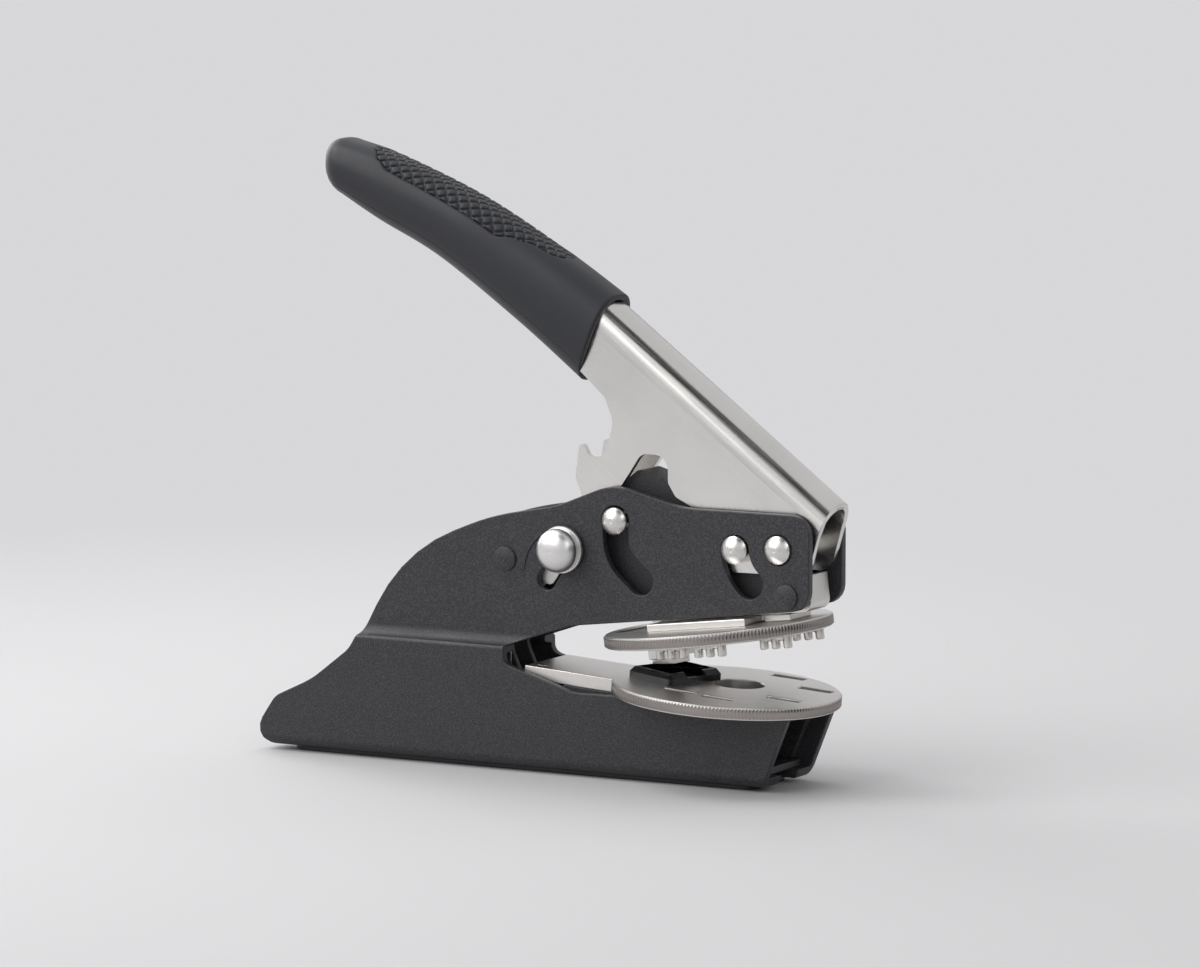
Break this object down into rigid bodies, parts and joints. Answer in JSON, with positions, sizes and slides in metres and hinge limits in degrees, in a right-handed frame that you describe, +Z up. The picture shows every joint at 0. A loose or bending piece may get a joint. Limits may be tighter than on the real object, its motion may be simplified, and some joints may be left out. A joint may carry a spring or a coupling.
{
  "type": "seal embosser",
  "caption": "Desk seal embosser: two stamped side plates, a lever with rubber grip, a pressure link and a press arm that closes two round seal plates on paper.",
  "frame": {"origin": "on the table, under the centre of the lower seal plate, on the middle plane", "axes": "+X forward to the seal plates, +Y to the left, +Z up"},
  "size_m": [0.1426, 0.051, 0.1398],
  "materials": {
    "black_paint": "fine textured matt black powder coat",
    "pad_rubber": "matt black rubber sheet",
    "plain_steel": "zinc plated steel",
    "pin_nickel": "satin nickel domed pins",
    "plate_nickel": "satin nickel plate with a finely knurled rim",
    "lever_nickel": "bright nickel plated sheet",
    "black_plastic": "glossy black moulded plastic",
    "grip_rubber": "soft matt black rubber with a diamond knurl patch",
    "knob_satin": "satin turned knob"
  },
  "bodies": {
    "frame": {"right_side_plate": "black_paint", "left_side_plate": "black_paint", "base_floor": "black_paint", "base_pad": "pad_rubber", "floor_rivets": "black_paint", "hinge_bracket": "plain_steel", "bracket_rivets": "plain_steel", "arm_hinge_pin": "plain_steel", "rear_spacer_rivet": "black_paint", "front_spacer_rivet": "black_paint", "fulcrum_pin": "pin_nickel", "die_bed": "black_paint", "lower_seal_plate": "plate_nickel", "register_frame": "black_plastic", "return_spring": "plain_steel"},
    "lever": {"lever_channel": "lever_nickel", "grip_sleeve": "grip_rubber", "crank_pin": "pin_nickel"},
    "link": {"pressure_link": "plate_nickel", "guide_pin": "pin_nickel"},
    "arm": {"press_arm": "black_paint", "press_pin": "plain_steel", "press_foot": "plate_nickel", "upper_holder": "plate_nickel", "upper_seal_plate": "plate_nickel", "register_block": "plate_nickel", "key_teeth": "plate_nickel", "upper_screws": "plain_steel"},
    "lock": {"lock_knob": "knob_satin", "lock_stem": "plain_steel", "lock_slide": "plain_steel", "lock_washer": "plain_steel"}
  },
  "joints": [
    {"name": "lever_hinge", "type": "hinge", "parent": "frame", "child": "lever", "pos_m": [0.0171, 0, 0.0535], "axis": [0, -1, 0], "range_deg": [0, 28], "stiffness_Nm_per_rad": 0.5, "springref_deg": -45.84},
    {"name": "link_pivot", "type": "hinge", "parent": "lever", "child": "link", "pos_m": [0.00652, 0, 0.05291], "axis": [0, -1, 0], "range_deg": [-24, 0]},
    {"name": "arm_hinge", "type": "hinge", "parent": "frame", "child": "arm", "pos_m": [-0.052, 0, 0.017], "axis": [0, 1, 0], "range_deg": [0, 11.5], "deforming": ["return_spring"]},
    {"name": "lock_travel", "type": "slide", "parent": "frame", "child": "lock", "axis": [-0.5231, 0, -0.8522], "range_m": [0, 0.0075]}
  ],
  "couplings": [
    {"joint": "link_pivot", "follows": "lever_hinge", "ratio": -0.825},
    {"joint": "arm_hinge", "follows": "lever_hinge", "ratio": 0.39286}
  ]
}
